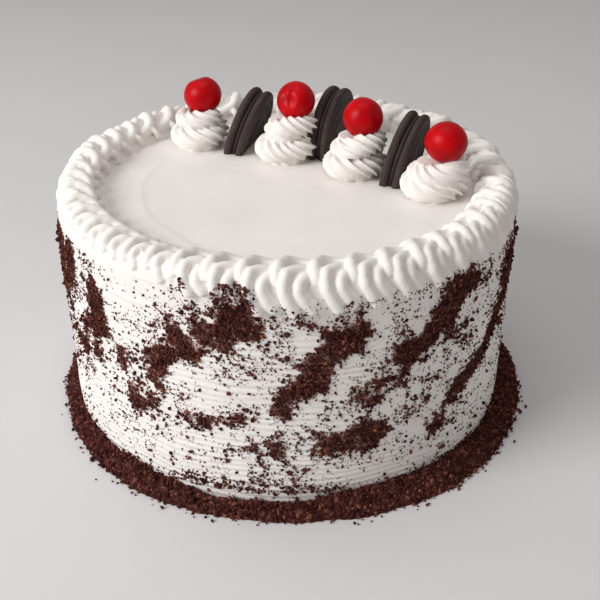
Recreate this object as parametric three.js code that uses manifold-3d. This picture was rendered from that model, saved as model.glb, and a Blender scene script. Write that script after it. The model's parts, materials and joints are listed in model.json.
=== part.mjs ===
// A whole black forest cake, uncut: a round cake in white whipped cream, with chocolate crumbs pressed
// into its side in slanting streaks and heaped round its foot, a piped scroll border on its top edge,
// and a row of four piped rosettes with a cherry on each and a chocolate sandwich biscuit leaning
// between each two of them. Millimetres, +Z up, origin at the middle of the cake's underside.
import * as THREE from "three";
import { mergeVertices } from "three/addons/utils/BufferGeometryUtils.js";
import Module from "manifold-3d";

const wasm = await Module();
wasm.setup();

// The driving dimensions
const CAKE_RADIUS = 98.7;
const CAKE_HEIGHT = 97;
const EDGE_ROUND = 1.5;
const CAKE_SIDES = 64;
const CLEARANCE = 0.3;
const ROUND_SHARE = 0.3;

const SCROLLS = 46;
const BORDER_INNER_RADIUS = 80;
const BORDER_CORE_OFFSET = 11;
const BORDER_CREST = 9.5;
const BACK_EXTRA_CREST = 3;
const BORDER_DROP = 2.6;
const BORDER_PROUD = 0.9;
const FRONT_BEARING = -1.35;
const FRONT_SPREAD = 0.5;
const FRONT_EXTRA_DROP = 7.4;
const FRONT_EXTRA_PROUD = 1.3;
const RIDGE_DEPTH = 1.6;

const ROSETTE_RADIUS = 12.7;
const ROSETTE_HEIGHT = 22.5;
const ROSETTE_RIDGES = 8;
const ROSETTE_RIDGE_SHARE = 0.13;
const ROSETTE_TWIST = 1.9;
const COLUMNS_PER_RIDGE = 4;

const CHERRY_RADIUS = 9;
const CHERRY_DENT = 1.3;
const CHERRY_DENT_EDGE = 0.82;
const CHERRY_NARROWING = 0.05;
const CHERRY_CUP_GAP = 0.45;

const WAFER_RADIUS = 20.5;
const WAFER_THICKNESS = 3.7;
const WAFER_ROUND = 1.4;
const FILLING_RADIUS = 18.8;
const FILLING_THICKNESS = 1.3;
const BISCUIT_SIDES = 24;

const CRUMB_SIZE = 1.9;
const CRUMB_SPACING = 4.3;
const CRUMB_STAND_OFF = 0.1;
const BARE_FOOT = 3;
const HEAP_TOP = 7.2;
const HEAP_REACH = 10.5;
const HEAP_LOPSIDE = 3;
const HEAP_LOPSIDE_BEARING = -0.6;
const HEAP_WAVE = 0.7;
const HEAP_COLUMNS = 120;

// Where each rosette stands, how far it is turned, and where its cherry sits above the icing
const ROSETTES = [
  { x: -42, y: 47.5, turn: 0.2, cherry: { x: -39.5, y: 48.5, lift: 23.8 }, dent: [-0.3, 0.2, 1] },
  { x: -1, y: 30, turn: 0.9, cherry: { x: 4, y: 31, lift: 26.8 }, dent: [-0.35, -0.85, 0.3] },
  { x: 30, y: 11.5, turn: 1.5, cherry: { x: 33, y: 10, lift: 26.2 }, dent: [0.5, 0.6, 0.7] },
  { x: 62, y: -12.5, turn: 2.3, cherry: { x: 66, y: -13, lift: 23.4 }, dent: [0.2, 0.9, 0.4] },
];

// Where each biscuit's middle is, its height above the icing, how far its right face turns to the
// front, and how far it leans
const BISCUITS = [
  { x: -18.5, y: 51.5, lift: 5.9, turnDeg: 17, leanDeg: 17.2 },
  { x: 21, y: 43.3, lift: 8.6, turnDeg: 21.4, leanDeg: 5.4 },
  { x: 52.3, y: 11.5, lift: 7.6, turnDeg: 22.4, leanDeg: 12 },
];

// The crumb streaks on the side: each runs from one bearing and height to another, in degrees and mm
const STREAKS = [
  { from: [-157, 84], to: [-160, 56], width: 7 },
  { from: [-137, 78], to: [-155, 50], width: 11 },
  { from: [-100, 83], to: [-110, 77], width: 10 },
  { from: [-110, 76], to: [-130, 44], width: 5 },
  { from: [-119, 53], to: [-128, 36], width: 6 },
  { from: [-98, 41], to: [-111, 37], width: 4 },
  { from: [-75, 77], to: [-91, 47], width: 8 },
  { from: [-67, 34], to: [-83, 29], width: 8 },
  { from: [-47, 83], to: [-69, 54], width: 11 },
  { from: [-22, 80], to: [-54, 27], width: 8 },
  { from: [2, 82], to: [-16, 58], width: 8 },
  { from: [28, 80], to: [8, 42], width: 9 },
  { from: [52, 62], to: [30, 30], width: 8 },
  { from: [78, 82], to: [58, 52], width: 9 },
  { from: [104, 60], to: [84, 28], width: 9 },
  { from: [128, 82], to: [108, 54], width: 9 },
  { from: [154, 58], to: [132, 28], width: 8 },
  { from: [176, 80], to: [160, 50], width: 9 },
];

// A repeatable draw between 0 and 1
function drawFrom(seed) {
  let state = seed;
  return () => {
    state = (state + 0x6d2b79f5) | 0;
    let t = Math.imul(state ^ (state >>> 15), 1 | state);
    t = (t + Math.imul(t ^ (t >>> 7), 61 | t)) ^ t;
    return ((t ^ (t >>> 14)) >>> 0) / 4294967296;
  };
}

const between = (draw, low, high) => low + (high - low) * draw();
const around = (radius, angle, z) => [radius * Math.cos(angle), radius * Math.sin(angle), z];

// A geometry as a solid that can be joined and cut
function solidOf(geometry) {
  const bare = new THREE.BufferGeometry();
  const flat = geometry.index ? geometry.toNonIndexed() : geometry;
  bare.setAttribute("position", flat.getAttribute("position"));
  const merged = mergeVertices(bare, 1e-4);
  return new wasm.Manifold(
    new wasm.Mesh({
      numProp: 3,
      vertProperties: new Float32Array(merged.attributes.position.array),
      triVerts: new Uint32Array(merged.index.array),
    }),
  );
}

// A solid back as a geometry
function geometryOf(solid) {
  const mesh = solid.getMesh();
  const points = new Float32Array(mesh.numVert * 3);
  for (let i = 0; i < mesh.numVert; i++) {
    points.set(mesh.vertProperties.subarray(i * mesh.numProp, i * mesh.numProp + 3), i * 3);
  }
  const geometry = new THREE.BufferGeometry();
  geometry.setAttribute("position", new THREE.BufferAttribute(points, 3));
  geometry.setIndex(new THREE.BufferAttribute(mesh.triVerts, 1));
  geometry.computeVertexNormals();
  return geometry;
}

function indexed(points, faces) {
  const geometry = new THREE.BufferGeometry();
  geometry.setAttribute("position", new THREE.Float32BufferAttribute(points.flat(), 3));
  geometry.setIndex(faces.flat());
  return geometry;
}

// A closed ring: each column is one closed section, and pointAt gives its points, counter-clockwise
// when seen with the ring's axis to the left
function ringGeometry(columns, sectionPoints, pointAt) {
  const points = [];
  const faces = [];
  for (let c = 0; c < columns; c++) {
    for (let s = 0; s < sectionPoints; s++) {
      points.push(pointAt(c, s));
      const nextC = (c + 1) % columns;
      const nextS = (s + 1) % sectionPoints;
      const a = c * sectionPoints + s;
      const b = nextC * sectionPoints + s;
      const d = c * sectionPoints + nextS;
      const e = nextC * sectionPoints + nextS;
      faces.push([a, b, e], [a, e, d]);
    }
  }
  return indexed(points, faces);
}

// A closed stack of rings of points, from the bottom up, with a fan at each end
function stackGeometry(levels, columns, pointAt) {
  const points = [];
  const faces = [];
  for (let l = 0; l < levels; l++) {
    for (let c = 0; c < columns; c++) {
      points.push(pointAt(l, c));
      if (l + 1 < levels) {
        const next = (c + 1) % columns;
        const a = l * columns + c;
        const b = l * columns + next;
        faces.push([a, b, b + columns], [a, b + columns, a + columns]);
      }
    }
  }
  const middle = (l) => {
    const ring = points.slice(l * columns, (l + 1) * columns);
    return [0, 1, 2].map((k) => ring.reduce((sum, p) => sum + p[k], 0) / columns);
  };
  const bottom = points.length;
  points.push(middle(0), middle(levels - 1));
  for (let c = 0; c < columns; c++) {
    const next = (c + 1) % columns;
    const top = (levels - 1) * columns;
    faces.push([bottom, next, c], [bottom + 1, top + c, top + next]);
  }
  return indexed(points, faces);
}

// A round biscuit plate about the Z axis, with its long edges rounded
function discGeometry(radius, thickness, round) {
  const half = thickness / 2;
  const profile = [
    [0, -half],
    [radius - round, -half],
    [radius - round * ROUND_SHARE, -half + round * ROUND_SHARE],
    [radius, -half + round],
    [radius, half - round],
    [radius - round * ROUND_SHARE, half - round * ROUND_SHARE],
    [radius - round, half],
    [0, half],
  ];
  const outline = round > 0 ? profile : [profile[0], [radius, -half], [radius, half], profile[7]];
  const points = outline.map(([r, z]) => new THREE.Vector2(r, z));
  const lathe = new THREE.LatheGeometry(points, BISCUIT_SIDES);
  lathe.rotateX(Math.PI / 2);
  return lathe;
}

// The place of a biscuit's own frame, in which Z runs through its faces
function biscuitPlace({ x, y, lift, turnDeg, leanDeg }) {
  const turn = THREE.MathUtils.degToRad(turnDeg);
  const lean = THREE.MathUtils.degToRad(leanDeg);
  const through = new THREE.Vector3(
    Math.cos(lean) * Math.cos(turn),
    -Math.cos(lean) * Math.sin(turn),
    -Math.sin(lean),
  );
  const turned = new THREE.Quaternion().setFromUnitVectors(new THREE.Vector3(0, 0, 1), through);
  const middle = new THREE.Vector3(x, y, CAKE_HEIGHT + lift);
  return new THREE.Matrix4().compose(middle, turned, new THREE.Vector3(1, 1, 1));
}

// The hollow that a biscuit presses into what it stands in
function biscuitHollow(biscuit) {
  const depth = FILLING_THICKNESS + 2 * (WAFER_THICKNESS + 2 * CLEARANCE);
  const hollow = discGeometry(WAFER_RADIUS + CLEARANCE, depth, 0);
  return solidOf(hollow.applyMatrix4(biscuitPlace(biscuit)));
}

// A cherry: a ball that narrows to its foot, with the dent of its stem
function cherryGeometry({ cherry, dent }, extra) {
  const ball = new THREE.SphereGeometry(CHERRY_RADIUS + extra, 12, 8);
  ball.rotateX(Math.PI / 2);
  const towards = new THREE.Vector3(...dent).normalize();
  const place = ball.getAttribute("position");
  for (let i = 0; i < place.count; i++) {
    const p = new THREE.Vector3().fromBufferAttribute(place, i);
    const facing = p.dot(towards) / p.length();
    const dented = CHERRY_DENT * Math.max(0, (facing - CHERRY_DENT_EDGE) / (1 - CHERRY_DENT_EDGE));
    const narrowed = 1 - CHERRY_NARROWING * Math.max(0, -p.z / CHERRY_RADIUS);
    p.multiplyScalar((1 - dented / CHERRY_RADIUS) * narrowed);
    place.setXYZ(i, p.x, p.y, p.z);
  }
  return ball.translate(cherry.x, cherry.y, CAKE_HEIGHT + cherry.lift);
}

// The piped swirl under a cherry: two coils of ridged cream, the lower one wider
function rosetteGeometry({ x, y, turn }) {
  const PROFILE = [
    [0.86, 0],
    [1.02, 0.1],
    [1.0, 0.26],
    [0.82, 0.42],
    [0.86, 0.56],
    [0.8, 0.74],
    [0.62, 0.9],
    [0.36, 1],
  ];
  const columns = ROSETTE_RIDGES * COLUMNS_PER_RIDGE;
  return stackGeometry(PROFILE.length, columns, (level, column) => {
    const [share, rise] = PROFILE[level];
    const ridge = Math.cos((column / COLUMNS_PER_RIDGE) * 2 * Math.PI);
    const angle = (column / columns) * 2 * Math.PI + turn + ROSETTE_TWIST * rise;
    const radius = ROSETTE_RADIUS * share * (1 + ROSETTE_RIDGE_SHARE * ridge);
    const z = CAKE_HEIGHT + CLEARANCE + ROSETTE_HEIGHT * rise;
    const [px, py] = around(radius, angle, z);
    return [x + px, y + py, z];
  });
}

// How near a bearing is to the front, where the scrolls hang lowest and stand out most, from 0 to 1
function frontness(angle) {
  const away = Math.atan2(Math.sin(angle - FRONT_BEARING), Math.cos(angle - FRONT_BEARING));
  return Math.exp(-((away / FRONT_SPREAD) ** 2));
}

// The border: one ring over the cake's top edge, whose ridges run in an S from the top to the side.
// Each scroll has a high ridge, a groove, a lower ridge and the deep groove where the next one starts
function borderGeometry() {
  const RIDGE_HEIGHTS = [0.9, 0, 0.65, -0.4];
  const inner = BORDER_INNER_RADIUS;
  const top = CAKE_HEIGHT + CLEARANCE;
  const wall = CAKE_RADIUS + CLEARANCE;
  const centre = [inner + BORDER_CORE_OFFSET, CAKE_HEIGHT];
  // Radius, height, share of the ridge's depth, and how far along the ring the S has run, in scrolls
  const sectionAt = (bearing) => {
    const front = frontness(bearing);
    const crest = BORDER_CREST + (BACK_EXTRA_CREST * (1 + Math.sin(bearing))) / 2;
    const proud = BORDER_PROUD + FRONT_EXTRA_PROUD * front;
    const foot = CAKE_HEIGHT - BORDER_DROP - FRONT_EXTRA_DROP * front;
    return [
      [inner, top, 0, 0.85],
      [wall, top, 0, 0.3],
      [wall, foot, 0, 0.5],
      [wall + proud, foot + 1.3, 0.9, 0.45],
      [wall + proud - 0.6, CAKE_HEIGHT - 0.5, 1, 0.1],
      [wall - 2, CAKE_HEIGHT + 6, 1, 0],
      [inner + 11.5, CAKE_HEIGHT + crest - 1.5, 1, 0.2],
      [inner + 4, CAKE_HEIGHT + crest - 4.5, 0.9, 0.65],
    ];
  };
  const sectionPoints = sectionAt(0).length;
  const ridges = RIDGE_HEIGHTS.length;
  return ringGeometry(SCROLLS * ridges, sectionPoints, (column, s) => {
    const bearing = (column / ridges / SCROLLS) * 2 * Math.PI;
    const [r, z, share, along] = sectionAt(bearing)[s];
    const out = share * RIDGE_DEPTH * RIDGE_HEIGHTS[column % ridges];
    const reach = Math.hypot(r - centre[0], z - centre[1]);
    const radius = r + (out * (r - centre[0])) / reach;
    const height = z + (out * (z - centre[1])) / reach;
    return around(radius, bearing + (along / SCROLLS) * 2 * Math.PI, height);
  });
}

// The crumbs heaped round the foot: a low bank, lopsided as it was poured, with bumps of crumb size
function heapGeometry() {
  const draw = drawFrom(7);
  const wall = CAKE_RADIUS + CLEARANCE;
  const bump = Array.from({ length: HEAP_COLUMNS * 6 }, () => between(draw, -1, 1));
  // Share of the reach, share of the height, and how far the bumps move the point, in mm
  const SECTION = [
    [0, 0, 0],
    [1, 0, 0.9],
    [0.86, 0.28, 0.8],
    [0.56, 0.6, 0.9],
    [0.26, 0.86, 0.8],
    [0, 1, 0.7],
  ];
  return ringGeometry(HEAP_COLUMNS, SECTION.length, (column, s) => {
    const angle = (column / HEAP_COLUMNS) * 2 * Math.PI;
    const lopside = HEAP_LOPSIDE * Math.cos(angle - HEAP_LOPSIDE_BEARING);
    const reach = HEAP_REACH + lopside + HEAP_WAVE * Math.sin(5 * angle);
    const [out, up, rough] = SECTION[s];
    const jolt = rough * bump[column * SECTION.length + s];
    const radius = wall + out * reach + (out > 0 ? jolt : 0);
    const height = up * (HEAP_TOP + HEAP_WAVE * Math.sin(3 * angle)) + (up > 0 ? 0.7 * jolt : 0);
    return around(radius, angle, height);
  });
}

// The larger crumbs on the side, most of them in the streaks, none touching its neighbour
function sideCrumbs() {
  const draw = drawFrom(31);
  const placed = [];
  for (const { from, to, width } of STREAKS) {
    const run = THREE.MathUtils.degToRad(to[0] - from[0]) * CAKE_RADIUS;
    const length = Math.hypot(run, to[1] - from[1]);
    const count = Math.round(length / CRUMB_SPACING);
    for (let i = 0; i < count; i++) {
      const along = (i + 0.5) / count;
      const aside = between(draw, -0.5, 0.5) * width;
      const size = CRUMB_SIZE * between(draw, 0.8, 1.25);
      const across = THREE.MathUtils.degToRad(from[0]) * CAKE_RADIUS + along * run;
      const x = across + (aside * (to[1] - from[1])) / length;
      const z = from[1] + along * (to[1] - from[1]) - (aside * run) / length;
      const free = placed.every((other) => Math.hypot(other.x - x, other.z - z) > CRUMB_SPACING);
      const drop = BORDER_DROP + FRONT_EXTRA_DROP * frontness(x / CAKE_RADIUS);
      if (free && z < CAKE_HEIGHT - drop - 2 * size && z > HEAP_TOP + BARE_FOOT + size) {
        placed.push({ x, z, size });
      }
    }
  }
  return placed.map(({ x, z, size }) => {
    const crumb = new THREE.OctahedronGeometry(size, 0);
    crumb.scale(1, between(draw, 0.75, 1), between(draw, 0.7, 0.95));
    crumb.rotateX(between(draw, 0, Math.PI));
    crumb.rotateZ(between(draw, 0, Math.PI));
    crumb.translate(...around(CAKE_RADIUS + CRUMB_STAND_OFF * size, x / CAKE_RADIUS, z));
    return solidOf(crumb);
  });
}

// The cake in its coat of cream, with the slots that the biscuits stand in
function icedCakeGeometry() {
  const edge = EDGE_ROUND * ROUND_SHARE;
  const outline = [
    [0, 0],
    [CAKE_RADIUS, 0],
    [CAKE_RADIUS, CAKE_HEIGHT - EDGE_ROUND],
    [CAKE_RADIUS - edge, CAKE_HEIGHT - edge],
    [CAKE_RADIUS - EDGE_ROUND, CAKE_HEIGHT],
    [0, CAKE_HEIGHT],
  ];
  const profile = outline.map(([r, z]) => new THREE.Vector2(r, z));
  const drum = new THREE.LatheGeometry(profile, CAKE_SIDES);
  drum.rotateX(Math.PI / 2);
  const coated = wasm.Manifold.union([solidOf(drum), ...sideCrumbs()]);
  return geometryOf(BISCUITS.reduce((cake, one) => cake.subtract(biscuitHollow(one)), coated));
}

function addNode(group, name, geometry, material) {
  const mesh = new THREE.Mesh(geometry, material);
  mesh.name = name;
  group.add(mesh);
  return mesh;
}

const cream = new THREE.MeshStandardMaterial({ color: 0xf3f0ea, roughness: 0.55, metalness: 0 });
const crumb = new THREE.MeshStandardMaterial({ color: 0x3a1d16, roughness: 0.95, metalness: 0 });
const wafer = new THREE.MeshStandardMaterial({ color: 0x2a2221, roughness: 0.8, metalness: 0 });
const filling = new THREE.MeshStandardMaterial({ color: 0x1e1413, roughness: 0.7, metalness: 0 });
const cherry = new THREE.MeshStandardMaterial({ color: 0xb3090f, roughness: 0.25, metalness: 0 });

const cake = new THREE.Group();
addNode(cake, "iced_cake", icedCakeGeometry(), cream);
addNode(cake, "crumb_heap", heapGeometry(), crumb);
addNode(cake, "piped_border", borderGeometry(), cream);

ROSETTES.forEach((rosette, i) => {
  const cup = solidOf(cherryGeometry(rosette, CHERRY_CUP_GAP));
  const piped = solidOf(rosetteGeometry(rosette)).subtract(cup);
  const pressed = BISCUITS.reduce((swirl, one) => swirl.subtract(biscuitHollow(one)), piped);
  const parts = pressed.decompose().sort((a, b) => b.volume() - a.volume());
  addNode(cake, `rosette_${i + 1}`, geometryOf(parts[0]), cream);
  addNode(cake, `cherry_${i + 1}`, cherryGeometry(rosette, 0), cherry);
});

BISCUITS.forEach((biscuit, i) => {
  const stack = new THREE.Group();
  stack.applyMatrix4(biscuitPlace(biscuit));
  const offset = (FILLING_THICKNESS + WAFER_THICKNESS) / 2 + CLEARANCE;
  const plate = discGeometry(WAFER_RADIUS, WAFER_THICKNESS, WAFER_ROUND);
  const middle = discGeometry(FILLING_RADIUS, FILLING_THICKNESS, 0);
  addNode(stack, `biscuit_${i + 1}_left_wafer`, plate, wafer).position.z = -offset;
  addNode(stack, `biscuit_${i + 1}_filling`, middle, filling);
  addNode(stack, `biscuit_${i + 1}_right_wafer`, plate.clone(), wafer).position.z = offset;
  cake.add(stack);
});

export default cake;
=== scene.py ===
"""Dresses a whole black forest cake: combed cream coat, piped border and rosettes, cherries, chocolate
sandwich biscuits, and the crumbs on its side and round its foot."""

import json
import math

import bmesh
import bpy
import numpy as np
from bpy.props import FloatProperty, FloatVectorProperty, IntProperty, PointerProperty
from mathutils import Matrix, Vector, noise
from mathutils.bvhtree import BVHTree

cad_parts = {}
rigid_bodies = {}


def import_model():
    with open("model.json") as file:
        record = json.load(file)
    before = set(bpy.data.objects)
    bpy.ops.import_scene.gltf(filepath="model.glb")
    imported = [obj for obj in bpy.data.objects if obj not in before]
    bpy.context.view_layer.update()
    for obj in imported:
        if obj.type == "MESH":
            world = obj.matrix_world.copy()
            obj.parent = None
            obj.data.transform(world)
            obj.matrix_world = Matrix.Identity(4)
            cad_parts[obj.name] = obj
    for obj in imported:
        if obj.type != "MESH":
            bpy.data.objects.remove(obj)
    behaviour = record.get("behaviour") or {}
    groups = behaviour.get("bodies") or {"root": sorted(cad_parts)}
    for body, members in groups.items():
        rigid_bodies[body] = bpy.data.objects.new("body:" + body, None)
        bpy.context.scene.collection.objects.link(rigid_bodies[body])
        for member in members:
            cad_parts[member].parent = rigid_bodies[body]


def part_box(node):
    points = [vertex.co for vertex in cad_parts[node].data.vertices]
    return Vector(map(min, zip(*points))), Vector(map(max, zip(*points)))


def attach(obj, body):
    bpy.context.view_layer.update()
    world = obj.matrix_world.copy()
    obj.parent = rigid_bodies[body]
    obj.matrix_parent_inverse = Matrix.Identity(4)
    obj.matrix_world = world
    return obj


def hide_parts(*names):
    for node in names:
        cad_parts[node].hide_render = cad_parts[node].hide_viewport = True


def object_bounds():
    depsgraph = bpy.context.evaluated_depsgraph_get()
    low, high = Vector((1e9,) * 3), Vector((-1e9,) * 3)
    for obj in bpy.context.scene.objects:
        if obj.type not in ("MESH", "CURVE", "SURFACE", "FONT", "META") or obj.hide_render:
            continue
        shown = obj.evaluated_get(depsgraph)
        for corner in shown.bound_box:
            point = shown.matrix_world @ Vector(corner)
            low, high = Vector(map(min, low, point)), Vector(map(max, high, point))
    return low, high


bl_info = {
    "name": "Black Forest Cake",
    "version": (1, 0, 0),
    "blender": (4, 5, 0),
    "location": "3D View > Sidebar > Cake",
    "description": "Builds a whole black forest cake around its packed solids",
    "category": "Object",
}

for leftover in list(bpy.data.objects):
    bpy.data.objects.remove(leftover)
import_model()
CAD_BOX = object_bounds()

MM = 0.001
COAT_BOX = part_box("iced_cake")
TOP = COAT_BOX[1].z / MM
WALL = 98.7
# How far from its middle line a streak of crumbs ends, and how fast the loose crumbs round it thin out, in
# half widths of the streak
STREAK_EDGE = 1.55
HALO_REACH = 2.1
# Sizes in mm and seeds of the noise that breaks up the crumbs' cover
BROAD_PATCHES = (9, 3)
MIDDLE_PATCHES = (3.2, 4)
SMALL_PATCHES = (1.5, 5)

# The camera that the photograph was taken with, in units of 100 mm and radians
VIEW_UNIT = 0.1
VIEW_DISTANCE = 4.7405
VIEW_ELEVATION = 0.5912
VIEW_ROLL = 0.0025
VIEW_AIM = (0.01252, 0.06967)
VIEW_FOCAL_PIXELS = 968.85
VIEW_PIXELS = 600
SENSOR = 36.0

# The crumb streaks on the side: bearing and height of both ends, half width in mm, and how dense
STREAKS = [
    (-152, 88, -155, 72, 6, 1.0),
    (-161, 86, -165, 66, 7, 1.0),
    (-155, 72, -158, 58, 6, 0.55),
    (-141, 80, -138, 64, 5.5, 1.0),
    (-146, 62, -150, 47, 5, 0.9),
    (-138, 64, -142, 50, 4, 0.7),
    (-131, 58, -129, 50, 3.5, 0.6),
    (-101, 92, -99, 84, 9, 1.0),
    (-103, 83, -112, 72, 6.5, 1.0),
    (-112, 72, -121, 61, 5, 0.85),
    (-121, 59, -127, 38, 8.5, 0.75),
    (-130, 40, -128, 32, 4, 0.6),
    (-112, 100, -114, 94, 3, 0.7),
    (-108, 85, -114, 76, 6, 0.6),
    (-100, 42, -109, 36, 3.5, 0.75),
    (-109, 36, -126, 35, 4.5, 0.62),
    (-84, 31, -100, 22, 9, 0.48),
    (-76, 78, -81, 72, 7.5, 1.0),
    (-82, 72, -85, 60, 7, 1.0),
    (-86, 58, -91, 48, 5.5, 0.85),
    (-85, 82, -80, 78, 4, 0.75),
    (-70, 33, -77, 31, 6, 1.0),
    (-78, 32, -86, 30, 6, 0.65),
    (-72, 50, -82, 44, 8, 0.4),
    (-47, 86, -52, 78, 8.5, 1.0),
    (-54, 76, -58, 69, 6, 0.95),
    (-60, 68, -66, 58, 6, 0.85),
    (-66, 57, -72, 49, 6, 0.68),
    (-50, 62, -64, 40, 13, 0.38),
    (-66, 44, -50, 26, 11, 0.36),
    (-16, 88, -17, 74, 4, 0.9),
    (-22, 80, -26, 58, 8, 0.8),
    (-30, 57, -35, 48, 4.5, 1.0),
    (-38, 46, -46, 39, 4.5, 0.85),
    (-47, 38, -53, 24, 4.5, 0.7),
]
BACK_STREAKS = 9
# Where a strip of clean wall shows over the heap: its middle and half its width, in degrees
STRIP_BEARING = -99
STRIP_SPREAD = 20

# Where each rosette stands and how far it is turned, in mm and radians
ROSETTES = [
    (-42, 47.5, 0.2),
    (-1, 30, 0.9),
    (30, 11.5, 1.5),
    (62, -12.5, 2.3),
]
# Each cherry's middle, its height over the flat top, and the side that its dent faces
CHERRIES = [
    (-39.5, 48.5, 23.8, (-0.3, 0.2, 1.0)),
    (4, 31, 26.8, (-0.35, -0.85, 0.3)),
    (33, 10, 26.2, (0.5, 0.6, 0.7)),
    (66, -13, 23.4, (0.2, 0.9, 0.4)),
]
# Each biscuit's middle, its height over the flat top, and its turn and lean in degrees
BISCUITS = [
    (-18.5, 51.5, 5.9, 17, 17.2),
    (21, 43.3, 8.6, 21.4, 5.4),
    (52.3, 11.5, 7.6, 22.4, 12),
]

# The bearings at which the scrolls on the front start, in degrees, and how many more go round the back
FRONT_SCROLLS = [
    -152, -144.3, -136.4, -129.2, -122.8, -115.5, -107.8, -100.4,
    -92.8, -84.8, -76.7, -68.6, -60.6, -53, -44.8, -36.6,
]
OTHER_SCROLLS = 31
# How far the scrolls' tips reach below the flat top, by bearing, in mm (above it where negative)
TIP_BEARINGS = [-180, -152, -134, -127, -119, -108, -100, -92, -84, -70, -62, -54, -45, -20, 90, 180]
TIP_DROPS = [-0.5, -3, -3, -2, 0.8, 3.5, 6.5, 8.6, 7.2, 6.3, 4.5, 5.5, 3.8, 3.2, 2.2, -0.5]


def linear(colour):
    """A colour given as it looks on a screen, from 0 to 255, as scene colour values."""
    shares = [c / 255 for c in colour]
    return tuple(s / 12.92 if s <= 0.04045 else ((s + 0.055) / 1.055) ** 2.4 for s in shares)


def rgba(colour):
    return (*colour, 1.0)


def value_noise(points, size, seed=0.0):
    """Smooth noise from -1 to 1 at each point, with lumps of the given size in mm."""
    offset = Vector((seed * 17.3, seed * 5.1, seed * 9.7))
    return np.array([noise.noise(Vector(p) / size + offset) for p in points])


def ring_points(bearing, radius, height):
    """Points from bearings in radians, radii and heights in mm."""
    return np.stack([radius * np.cos(bearing), radius * np.sin(bearing), height], axis=-1)


def clear_selection():
    bpy.ops.object.select_all(action="DESELECT")


def choose(piece):
    clear_selection()
    piece.select_set(True)
    bpy.context.view_layer.objects.active = piece


def place_points(piece, points):
    """Moves a piece's points to new places, given in mm."""
    piece.data.vertices.foreach_set("co", (np.asarray(points) * MM).astype(np.float32).ravel())
    piece.data.update()


def points_of(piece):
    places = np.empty(len(piece.data.vertices) * 3, np.float32)
    piece.data.vertices.foreach_get("co", places)
    return places.reshape(-1, 3).astype(float) / MM


def keep_value(mesh, name, values):
    """Keeps a value on each of a mesh's points, for its material to read."""
    mesh.attributes.new(name, "FLOAT", "POINT").data.foreach_set("value", values.astype(np.float32))


def grid_piece(name, columns, rows):
    """A flat grid as a start, with each point's share along its columns and rows, from 0 to 1."""
    clear_selection()
    bpy.ops.mesh.primitive_grid_add(x_subdivisions=columns, y_subdivisions=rows, size=1)
    piece = bpy.context.object
    piece.name = piece.data.name = name
    flat = points_of(piece) * MM + 0.5
    return piece, np.rint(flat[:, 0] * columns) / columns, np.rint(flat[:, 1] * rows) / rows


def close_seams(piece, gap=1e-6):
    choose(piece)
    bpy.ops.object.mode_set(mode="EDIT")
    bpy.ops.mesh.select_all(action="SELECT")
    bpy.ops.mesh.remove_doubles(threshold=gap)
    bpy.ops.mesh.normals_make_consistent(inside=False)
    bpy.ops.object.mode_set(mode="OBJECT")


def apply_modifier(piece, kind, **values):
    choose(piece)
    modifier = piece.modifiers.new(kind.title(), kind)
    for key, value in values.items():
        setattr(modifier, key, value)
    bpy.ops.object.modifier_apply(modifier=modifier.name)


def smooth_shade(piece):
    choose(piece)
    bpy.ops.object.shade_smooth()


def finish_piece(piece, material, slot, *nodes):
    piece.data.materials.clear()
    piece.data.materials.append(material)
    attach(piece, "root")
    if nodes:
        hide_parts(*nodes)
    return piece


def through(points, steps):
    """A smooth line through the given points (Catmull-Rom), as rows of numbers."""
    points = np.asarray(points, float)
    padded = np.vstack([2 * points[0] - points[1], points, 2 * points[-1] - points[-2]])
    line = []
    for i in range(1, len(padded) - 2):
        a, b, c, d = padded[i - 1 : i + 3]
        square = 2 * a - 5 * b + 4 * c - d
        cube = 3 * b - a - 3 * c + d
        for t in np.arange(steps) / steps:
            line.append(0.5 * (2 * b + (c - a) * t + square * t**2 + cube * t**3))
    line.append(points[-1])
    return np.array(line)


def tubes_piece(name, strands):
    """One mesh of round tubes, each given as its points in mm and its radius at each point."""
    curve = bpy.data.curves.new(name, "CURVE")
    curve.dimensions = "3D"
    curve.bevel_depth = MM
    curve.bevel_resolution = 3
    curve.use_fill_caps = True
    for points, radii in strands:
        spline = curve.splines.new("POLY")
        spline.points.add(len(points) - 1)
        spline.points.foreach_set("co", np.column_stack([points * MM, np.ones(len(points))]).ravel())
        spline.points.foreach_set("radius", np.asarray(radii, float))
    piece = bpy.data.objects.new(name, curve)
    bpy.context.scene.collection.objects.link(piece)
    choose(piece)
    bpy.ops.object.convert(target="MESH")
    return bpy.context.object


def join_pieces(first, *others):
    clear_selection()
    for piece in (first, *others):
        piece.select_set(True)
    bpy.context.view_layer.objects.active = first
    bpy.ops.object.join()
    return first


def merge_cream(piece, voxel, soften):
    """Melts overlapping strands into one skin, and softens it a little."""
    apply_modifier(piece, "REMESH", mode="VOXEL", voxel_size=voxel * MM, use_smooth_shade=True)
    apply_modifier(piece, "SMOOTH", factor=0.5, iterations=soften)


# Shared effects, as node groups

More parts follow.
